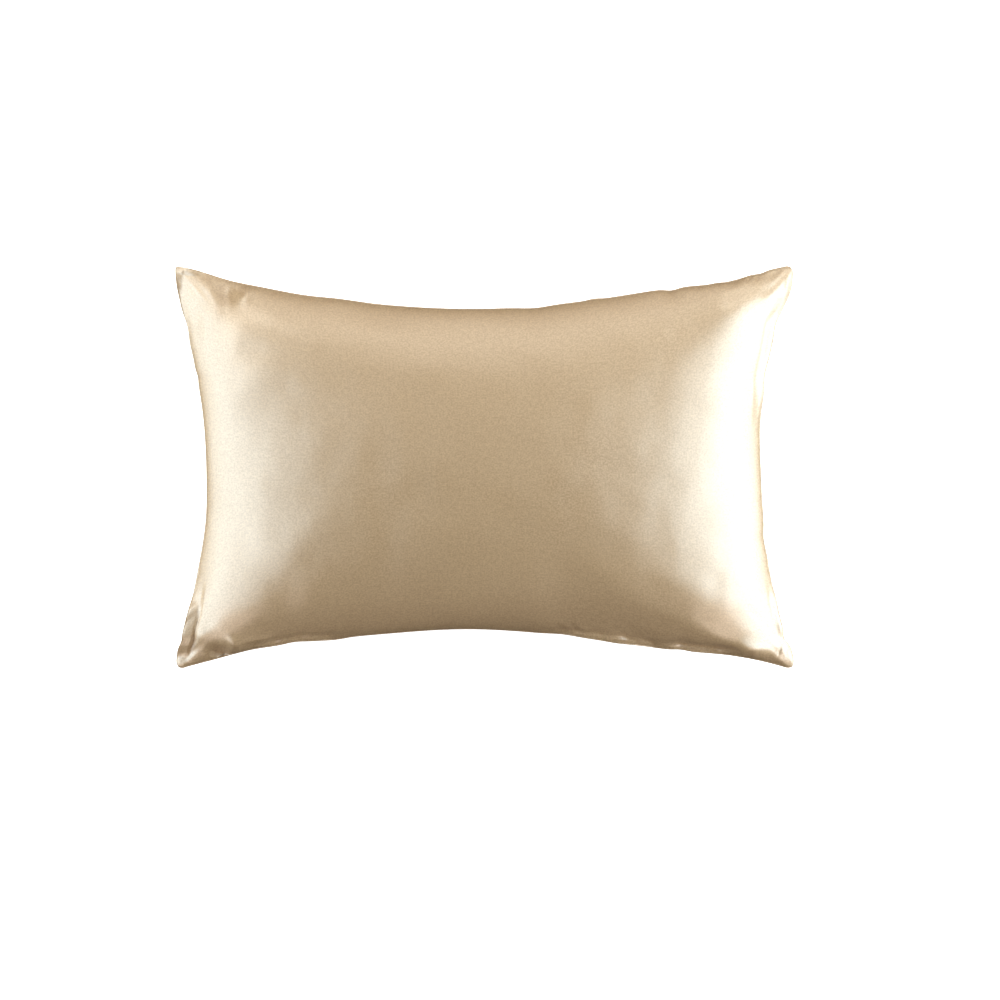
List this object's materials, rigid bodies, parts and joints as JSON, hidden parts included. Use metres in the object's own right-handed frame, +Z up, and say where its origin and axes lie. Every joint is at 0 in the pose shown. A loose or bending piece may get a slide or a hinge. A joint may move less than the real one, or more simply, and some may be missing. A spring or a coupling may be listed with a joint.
{
  "type": "filled satin pillowcase",
  "caption": "Plain satin pillowcase shown filled: a crowned bed pillow with drawn-in sides and soft pointed corners, lying on its back.",
  "frame": {"origin": "middle of the bounding box in plan, at the height of the surface that the back rests on", "axes": "+X along the long sides, +Y across towards the long side shown uppermost, +Z up out of the crowned front"},
  "size_m": [0.7158, 0.4652, 0.19],
  "materials": {
    "satin": "champagne satin weave, smooth and lustrous"
  },
  "bodies": {
    "root": {"pillowcase": "satin"}
  },
  "joints": []
}
